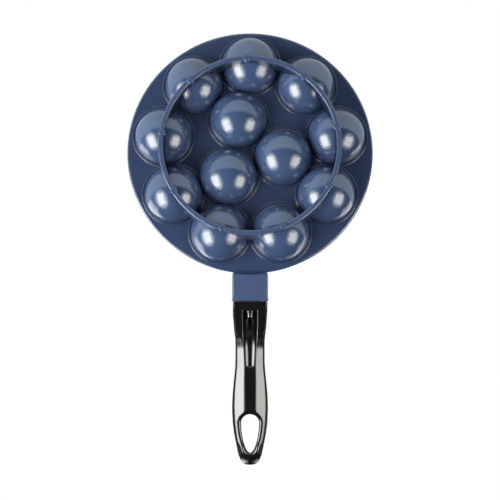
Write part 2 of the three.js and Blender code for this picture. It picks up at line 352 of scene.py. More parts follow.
# %% The tang, the slot and the neck
screw_height = 32.62
sleeve_top = 40.1
rim_near = pan_centre - plate_radius
tang_end = -58.45
tang_wide, tang_half, tang_corner = 9.5, 3.7, 1.85
neck_length, neck_wide, neck_reach, neck_corner = 1.6, 16, 2, 1.5
neck_under, neck_top, neck_lap = 33.3, sleeve_top - 1, 0.5
slot_wide, slot_low, slot_corner = 15.8, 20, 0.3
slot_out, slot_in = 5, 2.2
tang = bar(
    "tang",
    (-tang_wide, tang_end, screw_height - tang_half),
    (tang_wide, rim_near - neck_length + neck_lap, screw_height + tang_half),
    tang_corner,
    steps=4,
)
combine(casting, tang, "UNION")
slot = bar(
    "slot",
    (-slot_wide, rim_near - slot_out, slot_low),
    (slot_wide, rim_near + slot_in, neck_under),
    slot_corner,
    steps=1,
)
combine(casting, slot, "DIFFERENCE")
neck = bar(
    "neck",
    (-neck_wide, rim_near - neck_length, neck_under),
    (neck_wide, rim_near + neck_reach, neck_top),
    neck_corner,
    steps=4,
)
combine(casting, neck, "UNION")
tell("With its tang and neck", casting)

# %% [markdown]
# The cooking side: each cup's hollow is a ball as deep as the dome less its wall, with a rounded
# mouth where the batter is poured. The cutter reaches past the plate's top, so no skin is left.


# %% Cut the hollows and the screw's hole
cup_mouth_edge = 1.2
cutter_past = 3
bore_radius, bore_depth, bore_past = 2.8, 12, 2


def cup_inside(radius, degrees):
    """The hollow of one cup, with a rounded mouth."""
    x, y, _ = on_pan(radius, degrees)
    mouth = plate_top - cup_centre
    wide = cup_radius + cup_mouth_edge
    return turned(
        "hollow",
        [
            (wide, mouth + cutter_past),
            *arc(wide, mouth - cup_mouth_edge, cup_mouth_edge, 90, 180, 6),
            *arc(0, 0, cup_radius, 0, -90, 30)[1:-1],
            (0, -cup_radius),
        ],
        cup_sides,
        (x, y, cup_centre),
    )


def screw_axis(y):
    """Lays a form made on the Z axis along the screw's axis, its top towards the handle's tip."""
    turn = Matrix.Rotation(math.pi / 2, 4, "X")
    return Matrix.Translation(Vector((0, y, screw_height)) * mm) @ turn


for spot in cup_places:
    combine(casting, cup_inside(*spot), "DIFFERENCE")
screw_bore = turned("screw_bore", [(bore_radius, -bore_depth), (bore_radius, bore_past)], small_sides)
screw_bore.data.transform(screw_axis(tang_end))
combine(casting, screw_bore, "DIFFERENCE")
smooth(casting, degrees=32)
tell("Casting", casting)

# %% [markdown]
# ## The sleeve
# A short aluminium sleeve covers the tang between the rim and the handle. It is a bar with
# rounded long edges. Its far end swells into a small lip, and its near end is cut to the round
# of the rim, a little clear of it.

# %% The sleeve and its lip
sleeve_under = 26.5
sleeve_half = 16.5
sleeve_corner = 1.9
sleeve_end = -53.65
sleeve_reach = 8
lip_length = 2.4
lip_rise, lip_fall = 0.35, 0.45
lip_proud, lip_turned_in = 0.4, 0.3
sleeve = bar(
    "handle_guard_fine",
    (-sleeve_half, sleeve_end + lip_length, sleeve_under),
    (sleeve_half, rim_near + sleeve_reach, sleeve_top),
    sleeve_corner,
    steps=8,
)
end_face = (sleeve_end + lip_length) * mm
pick(sleeve, lambda _, spot: abs(spot.y - end_face) < touching, "polygons")
lip_middle = Vector((0, sleeve_end, (sleeve_under + sleeve_top) / 2)) * mm
lip_flat = lip_length - lip_rise - lip_fall
for back, proud in ((lip_rise, lip_proud), (lip_flat, 0), (lip_fall, -lip_turned_in)):
    wide = 1 + proud / sleeve_half
    tall = 1 + 2 * proud / (sleeve_top - sleeve_under)
    bpy.ops.mesh.extrude_region_move(TRANSFORM_OT_translate={"value": (0, -back * mm, 0)})
    bpy.ops.transform.resize(value=(wide, 1, tall), center_override=lip_middle)
face_outwards()
leave_edit()
tell("Sleeve and lip", sleeve)

# %% [markdown]
# A tall cylinder, a little larger than the rim, cuts the sleeve's front to the round. A second bar
# cuts the room for the tang, and a narrow bevel then breaks every sharp edge, because a sleeve
# that is sprayed has no razor edges left.

# %% Cut the sleeve's front round and its inside out
front_gap = 1.8
cut_low, cut_high = 10, 60
room_wide, room_half, room_corner = 9.8, 4, 2.1
room_back, room_front = 5, 9
sleeve_break, sleeve_sharp = 0.35, 50
front_radius = plate_radius + front_gap
front_cut = turned(
    "front_cut",
    [(front_radius, cut_low), (front_radius, cut_high)],
    round_sides * 2,
    (0, pan_centre, 0),
)
combine(sleeve, front_cut, "DIFFERENCE")
tang_room = bar(
    "tang_room",
    (-room_wide, sleeve_end - room_back, screw_height - room_half),
    (room_wide, rim_near + room_front, screw_height + room_half),
    room_corner,
    steps=4,
)
combine(sleeve, tang_room, "DIFFERENCE")
apply(
    sleeve,
    "BEVEL",
    width=sleeve_break * mm,
    segments=3,
    limit_method="ANGLE",
    angle_limit=math.radians(sleeve_sharp),
    use_clamp_overlap=True,
)
smooth(sleeve, degrees=40)
tell("Sleeve", sleeve)

# %% [markdown]
# ## The handle
# A moulded handle changes its section all the way along: a broad flat nose, a dip behind it, then
# a grip with a flat strip and two side facets that swells and closes at the hang hole. It could
# be pulled from a box with a subdivision surface, but then the facets' lines would wander. So a
# flat sheet is wrapped into its skin, and each row of points is laid on a section worked out from
# the numbers below.

# %% The handle's sections
handle_start = -53.95
handle_length = 148.5
handle_half = 16.7
handle_depth = 14
# How far along, half width, flat strip's share of it, fall of the facets, underside and top
handle_rows = [
    (0, 0.99, 0.9, 0.07, 0, 1),
    (0.08, 0.95, 0.905, 0.07, -0.01, 1.07),
    (0.19, 0.87, 0.9, 0.08, 0.01, 1.2),
    (0.235, 0.82, 0.62, 0.16, 0.18, 1.3),
    (0.29, 0.81, 0.44, 0.26, 0.44, 1.42),
    (0.32, 0.81, 0.44, 0.27, 0.55, 1.5),
    (0.38, 0.82, 0.41, 0.3, 0.68, 1.68),
    (0.5, 0.92, 0.355, 0.32, 0.92, 2.06),
    (0.58, 0.98, 0.32, 0.33, 1.06, 2.28),
    (0.65, 1, 0.305, 0.33, 1.17, 2.42),
    (0.72, 0.98, 0.315, 0.32, 1.28, 2.52),
    (0.8, 0.9, 0.36, 0.3, 1.42, 2.56),
    (0.865, 0.79, 0.44, 0.26, 1.57, 2.52),
    (0.9, 0.725, 0.64, 0.27, 1.65, 2.48),
    (0.925, 0.675, 0.62, 0.3, 1.72, 2.45),
    (0.942, 0.635, 0.46, 0.3, 1.79, 2.43),
    (0.955, 0.59, 0.26, 0.27, 1.865, 2.41),
    (0.97, 0.52, 0.12, 0.2, 1.965, 2.38),
    (0.985, 0.415, 0.1, 0.11, 2.05, 2.33),
    (0.995, 0.29, 0.1, 0.05, 2.1, 2.28),
    (1, 0.14, 0.1, 0.03, 2.145, 2.22),
]
nose_round = 0.7
edge_share = 0.915
line_soft, soft_of_half, soft_of_facet = 1.7, 0.12, 0.6
crown_side, crown_top = 0.75, 0.85


def between(rows, along):
    """The row's values at a share of the length, on a smooth curve that never overshoots."""
    last = len(rows) - 2
    k = min(max(i for i in range(len(rows)) if rows[i][0] <= along), last)
    a, b = rows[k], rows[k + 1]
    before, after = rows[max(k - 1, 0)], rows[min(k + 2, len(rows) - 1)]
    width = b[0] - a[0]
    t = (along - a[0]) / width
    values = []
    for i in range(1, len(a)):
        slope = (b[i] - a[i]) / width
        ends = []
        for p, q in ((before, a), (b, after)):
            other = (q[i] - p[i]) / (q[0] - p[0]) if q[0] > p[0] else slope
            ends.append(0 if slope * other <= 0 else 2 * slope * other / (slope + other))
        values.append(
            (2 * t**3 - 3 * t**2 + 1) * a[i]
            + (t**3 - 2 * t**2 + t) * width * ends[0]
            + (3 * t**2 - 2 * t**3) * b[i]
            + (t**3 - t**2) * width * ends[1]
        )
    return values


def section(along):
    """Half width, half flat, facet fall, underside and top in millimetres."""
    half, flat, fall, under, top = between(handle_rows, along)
    inset = max(nose_round - along * handle_length, 0)
    inset = nose_round - math.sqrt(nose_round**2 - inset**2)
    half = handle_half * half - inset
    under = sleeve_under + handle_depth * under + inset
    top = sleeve_under + handle_depth * top - inset
    return half, half * flat, min(handle_depth * fall, (top - under) * 0.5), under, top


def softness(half, flat):
    """How far the line between the flat strip and the facet is softened to each side."""
    return min(line_soft, half * soft_of_half, (half * edge_share - flat) * soft_of_facet)


def under_height(x, along):
    """The height of the underside: flat in the middle, then a facet, with a softened line."""
    half, flat, fall, under, _ = section(along)
    soft = softness(half, flat)
    past = abs(x) - flat
    if past < -soft:
        past = 0
    elif past < soft:
        past = (past + soft) ** 2 / (4 * soft)
    return under + fall * past / (half * edge_share - flat)


def top_height(x, along):
    """The height of the crowned top."""
    half, _, fall, under, top = section(along)
    middle = (under + fall + top) / 2
    across = min(abs(x) / half, 1) ** (1 / crown_side)
    return middle + (top - middle) * (1 - across**2) ** (crown_top / 2)


print("Handle:", handle_length, "mm long, from", len(handle_rows), "rows")

# %% [markdown]
# The sheet is a grid. Its columns go round the section and its rows along the handle, so the last
# column meets the first, and merging the doubles closes the skin. Rows stand close together where
# the form turns quickly, at the nose and at the tip.


# %% Wrap a sheet into the handle's skin
def wrapped(name, around, along, place):
    """Rolls a sheet up: place(i, j) gives each point in millimetres, and the ends are closed."""
    choose(camera)
    bpy.context.tool_settings.mesh_select_mode = [True, False, False]
    bpy.ops.mesh.primitive_grid_add(x_subdivisions=around, y_subdivisions=along, size=1)
    piece = bpy.context.object
    piece.name = name
    for k, vertex in enumerate(piece.data.vertices):
        vertex.co = Vector(place(k % (around + 1) % around, k // (around + 1))) * mm
    bpy.ops.object.mode_set(mode="EDIT")
    face_outwards()
    bpy.ops.mesh.fill_holes(sides=0)
    face_outwards()
    leave_edit()
    return piece


edge_lift = 0.3
nose_share, tip_share = 0.015, 0.045
even_steps, tip_steps = 110, 14
even_share = 1 - tip_share - nose_share


def half_section(along):
    """Points from the middle of the underside round to the middle of the top."""
    half, flat, fall, under, top = section(along)
    soft = softness(half, flat)
    middle = (under + fall + top) / 2
    edge = half * edge_share
    xs = [0, flat * 0.5, *(flat + soft * k for k in (-1.5, -1, -0.5, 0, 0.5, 1, 1.5))]
    xs += [flat + 1.5 * soft + (edge - flat - 1.5 * soft) * k for k in (0.25, 0.5, 0.75, 1)]
    points = [(x, under_height(x, along)) for x in xs]
    start = points[-1][1]
    for t in (0.25, 0.5, 0.75, 1):
        x = edge * (1 - t) ** 2 + half * (1 - (1 - t) ** 2)
        z = start * (1 - t) ** 2 + (start + (middle - start) * edge_lift) * 2 * t * (1 - t)
        points.append((x, z + middle * t * t))
    for turn in (6, 12, 19, 27, 35, 43, 51, 59, 67, 75, 82.5):
        x = half * math.cos(math.radians(turn)) ** crown_side
        points.append((x, top_height(x, along)))
    return points + [(0, top)]


stations = [nose_round * k / handle_length for k in (0, 0.15, 0.4, 0.7, 1)]
stations += [nose_share + even_share * k / even_steps for k in range(even_steps + 1)]
stations += [1 - tip_share * (1 - k / tip_steps) ** 2 for k in range(1, tip_steps + 1)]
ribs = []
for along in stations:
    right = half_section(along)
    left = [(-x, z) for x, z in right[-2:0:-1]]
    ribs.append([(x, handle_start - handle_length * along, z) for x, z in right + left])
handle = wrapped("handle_fine", len(ribs[0]), len(ribs) - 1, lambda i, j: ribs[j][i])
tell(f"Handle skin of {len(stations)} sections", handle)

# %% [markdown]
# The hang hole is shaped like an egg, broad towards the pan, with a wide rounded lip below and a
# narrower one above. A straight cutter and a bevel would leave the lip uneven, because the facets
# fall away. So the cutter is wrapped the same way, and each row of its lip is laid on the
# handle's own surface.

# %% Cut the hang hole
hole_half = 8.2
hole_length = 34.5
hole_from_tip = 11.4
hole_lip_under = 4.6
hole_lip_top = 2.2
hole_taper = 1.25
hole_past = 6
hole_middle = handle_length - hole_from_tip - hole_length / 2
hole_points = 88


def hole_edge(i):
    """A point on the hole's edge: half a circle towards the pan, then a longer round end."""
    turn = 2 * math.pi * i / hole_points
    across, ahead = math.cos(turn), math.sin(turn)
    reach = hole_half if ahead > 0 else hole_length - hole_half
    ahead = ahead if ahead > 0 else -(abs(ahead) ** hole_taper)
    return hole_half * across, hole_middle - hole_length / 2 + hole_half - reach * ahead


def hole_outline(i, margin):
    """A point on the hole's edge moved out by a margin: across and along from the nose."""
    (x, d), (ax, ad), (bx, bd) = (hole_edge(k % hole_points) for k in (i, i - 1, i + 1))
    length = math.hypot(bx - ax, bd - ad)
    return x - margin * (bd - ad) / length, d + margin * (bx - ax) / length


def hole_point(i, j):
    """Rows from below the handle, over the lower lip, up the wall and over the upper lip."""
    turn, beyond = hole_rows[j]
    below = j < len(hole_rows) / 2
    lip = hole_lip_under if below else hole_lip_top
    x, distance = hole_outline(i, lip * (1 - math.sin(turn)))
    depth = lip * (1 - math.cos(turn)) - beyond
    along = distance / handle_length
    z = under_height(x, along) + depth if below else top_height(x, along) - depth
    return x, handle_start - distance, z


lip_turns = [math.radians(t) for t in (2, 9, 17, 25, 33, 41, 49, 57, 65, 74, 90)]
hole_rows = [(t, 0) for t in lip_turns]
hole_rows += hole_rows[::-1]
hole_rows = [(lip_turns[0], hole_past), *hole_rows, (lip_turns[0], hole_past)]
hole_cut = wrapped("hole_cut", hole_points, len(hole_rows) - 1, hole_point)
combine(handle, hole_cut, "DIFFERENCE")
print("Hang hole:", hole_length, "by", 2 * hole_half, "mm, in", len(hole_rows), "rows")

# %% [markdown]
# The screw is put in through a long groove that opens to the underside. It is as wide as a driver
# at the screw and gets narrower and shallower towards the grip. Its cutter is an arch on two
# straight walls, and the arch follows a few rows of numbers, as the handle's sections do.

# %% Cut the groove
washer_seat = -62.75
groove_end = -114.45
groove_radius = 6.2
groove_open = 8
end_corner = 2.2
end_under = section((handle_start - groove_end) / handle_length)[3] - screw_height
# From the nose, half width, axis above the screw's, and height of the arch over the axis
groove_rows = [
    (handle_start - washer_seat, groove_radius, 0, groove_radius),
    (20, groove_radius, 0, groove_radius),
    (37, 5.9, 0, 4.2),
    (handle_start - groove_end, 4.9, end_under, 3.7),
]
groove_steps, arch_steps = 30, 32
corner_y = groove_end + end_corner


def groove_section(y):
    """The groove's half width, the height of its axis and the height of its arch."""
    half, axis, arch = between(groove_rows, handle_start - y)
    return half, screw_height + axis, arch


def groove_point(i, j):
    """Up one wall, over the arch and down the other wall, rounded in at the far end."""
    y = groove_stations[j]
    half, axis, arch = groove_section(y)
    past = max(corner_y - y, 0)
    inset = end_corner - math.sqrt(max(end_corner**2 - past**2, 0))
    if i in (0, arch_steps + 2):
        return (half - inset) * (1 if i == 0 else -1), y, groove_open
    turn = math.pi * (i - 1) / arch_steps
    return (half - inset) * math.cos(turn), y, axis + (arch - inset) * math.sin(turn)


groove_stations = [
    washer_seat + (corner_y - washer_seat) * k / groove_steps for k in range(groove_steps + 1)
]
for degrees in (15, 30, 45, 60, 75, 90):
    groove_stations.append(groove_end + end_corner * (1 - math.sin(math.radians(degrees))))
groove = wrapped("groove", arch_steps + 3, len(groove_stations) - 1, groove_point)
combine(handle, groove, "DIFFERENCE")
print("Groove:", round(washer_seat - groove_end, 1), "mm long")

# %% [markdown]
# The groove's mouth is rounded, widest at the screw and almost sharp at its far end. A bevel
# modifier keeps one width, so this edge is cut too: a path runs once round the mouth, and a
# quarter circle is swept along it that gets smaller as it goes.

# %% Round the groove's mouth
mouth_round = 1.6
mouth_narrow = 0.12
mouth_steps, turn_steps = 30, 8
mouth_below = -6
mouth_inner, mouth_height = -0.4, 1.4
slanted = 0.707


def mouth_half(y):
    """Half the groove's width where it meets the underside."""
    half, axis, arch = groove_section(y)
    above = max(section((handle_start - y) / handle_length)[3] - axis, 0)
    return half * math.sqrt(1 - (above / arch) ** 2)


corner_x = mouth_half(corner_y) - end_corner
mouth_path = []
for k in range(mouth_steps + 1):
    y = washer_seat + (corner_y - washer_seat) * k / mouth_steps
    mouth_path.append((mouth_half(y), y, 1, 0))
for k in range(1, turn_steps + 1):
    turn = math.pi / 2 * k / turn_steps
    out = (math.cos(turn), -math.sin(turn))
    mouth_path.append((corner_x + end_corner * out[0], corner_y + end_corner * out[1], *out))
mouth_path += [(-x, y, -out_x, out_y) for x, y, out_x, out_y in mouth_path[::-1]]
mouth_path.append((-groove_radius, washer_seat, -slanted, slanted))
mouth_path.append((groove_radius, washer_seat, slanted, slanted))
mouth_rows = [(mouth_round, mouth_below), (mouth_round, 0)]
for degrees in (15, 30, 45, 60, 80):
    t = math.radians(degrees)
    mouth_rows.append((mouth_round * (1 - math.sin(t)), mouth_round * (1 - math.cos(t))))
mouth_rows.append((mouth_inner, mouth_round * mouth_height))


def mouth_point(i, j):
    """Rows from below the handle up over the rounding and into the groove."""
    x, y, out_x, out_y = mouth_path[i]
    gone = (washer_seat - y) / (washer_seat - groove_end)
    size = 1 + (mouth_narrow - 1) * gone
    margin, depth = (v if v == mouth_below else v * size for v in mouth_rows[j])
    x, y = x + out_x * margin, y + out_y * margin
    return x, y, under_height(x, (handle_start - y) / handle_length) + depth


mouth_cut = wrapped("mouth_cut", len(mouth_path), len(mouth_rows) - 1, mouth_point)
combine(handle, mouth_cut, "DIFFERENCE")
print("Mouth:", mouth_round, "to", round(mouth_round * mouth_narrow, 2), "mm round")

# %% [markdown]
# The nose has a socket that the tang slides into, with a little room all round, and a hole that
# leads the screw's shank from the groove into the tang. Both are cut last.

# %% Cut the socket and the hole for the shank
socket_room, socket_past = 0.3, 3
washer_bore, shank_reach = 2.9, 8
socket = bar(
    "socket",
    (-room_wide, tang_end - socket_room, screw_height - room_half),
    (room_wide, handle_start + socket_past, screw_height + room_half),
    room_corner,
    steps=4,
)
combine(handle, socket, "DIFFERENCE")
shank_profile = [(washer_bore, -shank_reach), (washer_bore, shank_reach)]
shank_room = turned("shank_room", shank_profile, small_sides)
shank_room.data.transform(screw_axis(washer_seat))
combine(handle, shank_room, "DIFFERENCE")
smooth(handle, degrees=38)
tell("Handle", handle)

# %% [markdown]
# ## The screw and its washers
# The screw lies along the handle, so only its washers and the edge of its head are seen, deep in
# the groove. All three are turned forms. Two crossed bars cut the recess in the head, one more
# splits the spring washer, and the washers' outer edges are broken, as pressed steel's are.

# %% The flat washer and the split spring washer
washer_gap = 0.3
washer_edge = 0.15
washer_sides = 64
flat_thick, flat_radius = 1, 4.6
spring_thick, spring_radius = 1.3, 4
split_half = 0.55
cutter_edge = 0.1


def washer(name, thick, radius):
    """A flat ring whose outer edges are broken."""
    land = radius - washer_edge
    profile = [
        (washer_bore, 0),
        (washer_bore, thick),
        (land, thick),
        (radius, thick - washer_edge),
        (radius, washer_edge),
        (land, 0),
        (washer_bore, 0),
    ]
    return turned(name, profile, washer_sides)


flat_washer = washer("flat_washer_fine", flat_thick, flat_radius)
flat_washer.data.transform(screw_axis(washer_seat - washer_gap))
spring_washer = washer("spring_washer_fine", spring_thick, spring_radius)
split = bar("split", (2, -split_half, -2), (7, split_half, 3), cutter_edge, steps=1)
combine(spring_washer, split, "DIFFERENCE")
spring_washer.data.transform(screw_axis(washer_seat - 2 * washer_gap - flat_thick))

# %% The screw and its cross recess
shank_radius, shank_length = 2.5, 20
head_radius, head_height, head_round = 3.7, 3.2, 1.4
recess_half, recess_floor = 0.6, 1.8
recess_past, recess_top = 6, 5
screw = turned(
    "handle_screw_fine",
    [
        (shank_radius, head_height - shank_length),
        (shank_radius, 0),
        (head_radius, 0),
        *arc(head_radius - head_round, head_height - head_round, head_round, 0, 90, 8),
    ],
    washer_sides,
)
for wide, long in ((recess_past, recess_half), (recess_half, recess_past)):
    low, high = (-wide, -long, recess_floor), (wide, long, recess_top)
    combine(screw, bar("recess", low, high, cutter_edge, steps=1), "DIFFERENCE")
screw.data.transform(screw_axis(washer_seat - head_height))
for small_part in (flat_washer, spring_washer, screw):
    smooth(small_part, degrees=35)
    tell(small_part.name, small_part)

# %% [markdown]
# ## Finishes
# The pan's coating is a navy layer, sprayed on and baked. It is glossy, with the fine ripple of
# sprayed paint and a gloss that varies a little from place to place. The moulded handle and the
# steel have the same kind of ripple, finer and shallower, so it is a node group, built once.


# %% Hands for nodes
def set_inputs(node, inputs):
    """Sets a node's inputs, by name or place, from plain values or from (node, its output)."""
    for key, value in inputs.items():
        if isinstance(value, tuple) and isinstance(value[0], bpy.types.Node):
            node.id_data.links.new(value[0].outputs[value[1]], node.inputs[key])
        else:
            node.inputs[key].default_value = value


def add_node(tree, kind, inputs=(), **settings):
    """Adds one shader node with its settings and its inputs."""
    node = tree.nodes.new(kind if kind.startswith("Node") else "ShaderNode" + kind)
    for key, value in settings.items():
        setattr(node, key, value)
    set_inputs(node, dict(inputs))
    return node


def math_node(tree, operation, *terms, kind="Math"):
    """A node that works out one operation on its terms."""
    return add_node(tree, kind, dict(enumerate(terms)), operation=operation)


def ramp(tree, value, low, high):
    """How far a value has come from low to high, on a smooth curve."""
    inputs = {"Value": value, "From Min": low, "From Max": high}
    return add_node(tree, "MapRange", inputs, interpolation_type="SMOOTHSTEP")


def mixed(tree, share, low, high):
    """Two colours mixed by a share from 0 to 1. The mixed colour is the node's output 2."""
    return add_node(tree, "Mix", {"Factor": share, 6: low, 7: high}, data_type="RGBA")


def group_of(name, inputs, outputs, colours=()):
    """A node group whose sockets are numbers, but for the named colours."""
    made = bpy.data.node_groups.new(name, "ShaderNodeTree")
    kinds = {True: "NodeSocketColor", False: "NodeSocketFloat"}
    for key, value in inputs.items():
        kind = kinds[key in colours]
        socket = made.interface.new_socket(key, in_out="INPUT", socket_type=kind)
        socket.default_value = (*value, 1) if key in colours else value
    for key in outputs:
        made.interface.new_socket(key, in_out="OUTPUT", socket_type=kinds[key in colours])
    return made, add_node(made, "NodeGroupInput"), add_node(made, "NodeGroupOutput")


# %% A node group for ripple and uneven gloss
cloud_scale = 40
ripple, given, result = group_of(
    "sprayed_ripple", {"Grain": 700, "Low": 0.2, "High": 0.3}, ["Height", "Roughness"]
)
where = (add_node(ripple, "TexCoord"), "Object")
grain = add_node(ripple, "TexNoise", {"Vector": where, "Scale": (given, "Grain"), "Detail": 2})
cloud = add_node(ripple, "TexNoise", {"Vector": where, "Scale": cloud_scale, "Detail": 3})
gloss = {"Value": (cloud, "Fac"), "To Min": (given, "Low"), "To Max": (given, "High")}
spread = add_node(ripple, "MapRange", gloss)
set_inputs(result, {"Height": (grain, "Fac"), "Roughness": (spread, "Result")})
print(ripple.name, "has", len(ripple.nodes), "nodes")

# %% [markdown]
# The casting's colour isn't even, and two of its three marks are painted shade. The valleys between
# the domes are painted darker towards the plate, where the domes shade them, which also darkens the
# cups' inside walls towards their mouths. A line of painted shade lies along the ring's inner wall,
# on the wall and the domes beside it. The feet are rubbed lighter by the hob. All three could be
# painted by hand, but they follow the height and the distance from the pan's axis, so one group
# works them out for the whole casting.

# %% The group of painted shade and wear, and its colours
# Two of these tones are painted shade: the one for the valleys and the one for the ring's inner wall.
tones = {
    "Coat": (0.05, 0.08, 0.17),
    "Valley Shade": (0.04, 0.061, 0.13),
    "Rubbed": (0.06, 0.09, 0.18),
    "Ring Shade": (0.01, 0.015, 0.03),
}
lengths = {
    "Rubbed Height": 1.2,
    "Softness": 0.8,
    "Valley Shade From": 12,
    "Valley Shade To": 30.8,
    "Valley Shade Past": 32,
    "Wall Radius": ring_inner,
}
in_metres = {key: length * mm for key, length in lengths.items()}
shade_and_wear, given, result = group_of(
    "shade_and_wear_coat", {**tones, **in_metres, "Ring Shade Share": 0.85}, ["Colour"], (*tones, "Colour")
)
where = (add_node(shade_and_wear, "TexCoord"), "Object")
height = (add_node(shade_and_wear, "SeparateXYZ", {"Vector": where}), "Z")

# %% Painted shade in the valleys, up to the plate
# Painted shade: darker with height up to the plate, where the domes shade the valleys, and on the
# cups' inside walls too.
deeper = ramp(shade_and_wear, height, (given, "Valley Shade From"), (given, "Valley Shade To"))
under_plate = math_node(shade_and_wear, "LESS_THAN", height, (given, "Valley Shade Past"))
deep = math_node(shade_and_wear, "MULTIPLY", (deeper, "Result"), (under_plate, "Value"))
valley_shaded = mixed(shade_and_wear, (deep, "Value"), (given, "Coat"), (given, "Valley Shade"))

# %% A line of painted shade along the ring's inner wall
# Painted shade: a dark band on the ring's inner wall and on the domes where they meet it, as a
# contact shadow.
ring_shade_reach, ring_shade_soft = 0.7, 1
ring_shade_from, ring_shade_to = 2.5, 8
flattened, to_axis = (1, 1, 0), (0, -pan_centre * mm, 0)
from_axis = math_node(shade_and_wear, "MULTIPLY_ADD", where, flattened, to_axis, kind="VectorMath")
radius = math_node(shade_and_wear, "LENGTH", (from_axis, "Vector"), kind="VectorMath")
off_wall = math_node(shade_and_wear, "SUBTRACT", (radius, "Value"), (given, "Wall Radius"))
distance = math_node(shade_and_wear, "ABSOLUTE", (off_wall, "Value"))
near = ramp(shade_and_wear, (distance, "Value"), (ring_shade_reach + ring_shade_soft) * mm, ring_shade_reach * mm)
inside = ramp(shade_and_wear, height, ring_shade_from * mm, ring_shade_to * mm)
both = math_node(shade_and_wear, "MULTIPLY", (near, "Result"), (inside, "Result"))
share = math_node(shade_and_wear, "MULTIPLY", (both, "Value"), (given, "Ring Shade Share"))
ring_shaded = mixed(shade_and_wear, (share, "Value"), (valley_shaded, 2), (given, "Ring Shade"))

# %% Rubbed in patches on the feet
patch_scale, patch_sway = 220, 0.6
softness_in = (given, "Softness")
patches = add_node(shade_and_wear, "TexNoise", {"Vector": where, "Scale": patch_scale, "Detail": 5})
swing = {"Value": (patches, "Fac"), "To Min": -patch_sway, "To Max": patch_sway}
uneven = add_node(shade_and_wear, "MapRange", swing)
lower = math_node(
    shade_and_wear, "MULTIPLY_ADD", (uneven, "Result"), softness_in, (given, "Rubbed Height")
)
upper = math_node(shade_and_wear, "ADD", (lower, "Value"), softness_in)
edges = {"From Min": (lower, "Value"), "From Max": (upper, "Value")}
fall = add_node(shade_and_wear, "MapRange", {"Value": height, **edges, "To Min": 1, "To Max": 0})
shade_and_wear_off = mixed(shade_and_wear, (fall, "Result"), (ring_shaded, 2), (given, "Rubbed"))
set_inputs(result, {"Colour": (shade_and_wear_off, 2)})
print(shade_and_wear.name, "has", len(shade_and_wear.nodes), "nodes")

# %% [markdown]
# Every finish is one shader whose colour drifts between two near tones, because no real surface is
# one flat colour. The ripple sets its gloss and its bump, each finish with its own grain and depth.


# %% Make a finish from its colours
def finish(name, colour, darker, grain_scale, gloss, ripple_height, inputs):
    """A material whose colour drifts a little, with the shared ripple and uneven gloss."""
    material = bpy.data.materials.new(name)
    material.use_nodes = True
    tree = material.node_tree
    where = (add_node(tree, "TexCoord"), "Object")
    drift = add_node(tree, "TexNoise", {"Vector": where, "Scale": drift_scale, "Detail": 4})
    tone = mixed(tree, (drift, "Fac"), (*darker, 1), (*colour, 1))
    surface = add_node(tree, "Group", node_tree=ripple)
    set_inputs(surface, {"Grain": grain_scale, "Low": gloss[0], "High": gloss[1]})
    bump = add_node(tree, "Bump", {"Strength": 1, "Distance": ripple_height * mm})
    set_inputs(bump, {"Height": (surface, "Height")})
    shader = tree.nodes["Principled BSDF"]
    set_inputs(shader, {"Base Color": (tone, 2), "Roughness": (surface, "Roughness")})
    set_inputs(shader, {"Normal": (bump, "Normal"), **inputs})
    return material


drift_scale = 60
glossy = {"Specular IOR Level": 1, "IOR": 1.6}
navy_light, navy_dark = (0.057, 0.093, 0.192), (0.045, 0.074, 0.158)
guard_light, guard_dark = (0.069, 0.103, 0.212), (0.055, 0.083, 0.176)
black_light, black_dark = (0.006, 0.006, 0.007), (0.004, 0.004, 0.005)
steel_light, steel_dark = (0.34, 0.33, 0.32), (0.22, 0.22, 0.21)
navy = finish("navy_coating", navy_light, navy_dark, 700, (0.11, 0.19), 0.085, glossy)
navy_sleeve = finish("navy_sleeve", guard_light, guard_dark, 700, (0.16, 0.23), 0.03, glossy)
phenolic = finish("black_phenolic", black_light, black_dark, 500, (0.16, 0.23), 0.006, glossy)
steel = finish("plated_steel", steel_light, steel_dark, 1500, (0.16, 0.24), 0.004, {"Metallic": 1})
shader = navy.node_tree.nodes["Principled BSDF"]
even_coat = shader.inputs["Base Color"].links[0].from_node
# The casting's colour goes through this group: painted shade in the valleys and along the ring's
# inner wall, and rubbed feet.
coat = add_node(navy.node_tree, "Group", node_tree=shade_and_wear)
set_inputs(coat, {"Coat": (even_coat, 2)})
set_inputs(shader, {"Base Color": (coat, "Colour")})
print("Finishes:", [made.name for made in (navy, navy_sleeve, phenolic, steel)])

# %% [markdown]
# ## Dressing the pieces
# Each piece takes its finish, stands in for the node of the imported model that it was built round,
# and is tied to the pan's one body.

# %% Dress the pieces and tie them to the frame
for piece, material, node, slot_name in (
    (casting, navy, "pan_casting", "pan_coating"),
    (sleeve, navy_sleeve, "handle_guard", "guard_coating"),
    (handle, phenolic, "handle", "black_phenolic"),
    (screw, steel, "handle_screw", "plated_steel"),
    (flat_washer, steel, "flat_washer", "plated_steel"),
    (spring_washer, steel, "spring_washer", "plated_steel"),
):
    piece.data.materials.clear()
    piece.data.materials.append(material)
    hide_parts(node)
    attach(piece, "root")
    tell(f"{piece.name} stands for {node}", piece)

# %% [markdown]
# ## The studio
# A pale floor carries the pan when it is seen from above, and fades to white far away, so no
# horizon shows. It has to vanish from below, so its material is clear from its back, and it is
# hidden from every ray that isn't the camera's.


# %% The floor
def stage_material(name):
    """A bare material with its tree and its shader, for the room."""
    material = bpy.data.materials.new(name)
    material.use_nodes = True
    return material, material.node_tree, material.node_tree.nodes["Principled BSDF"]


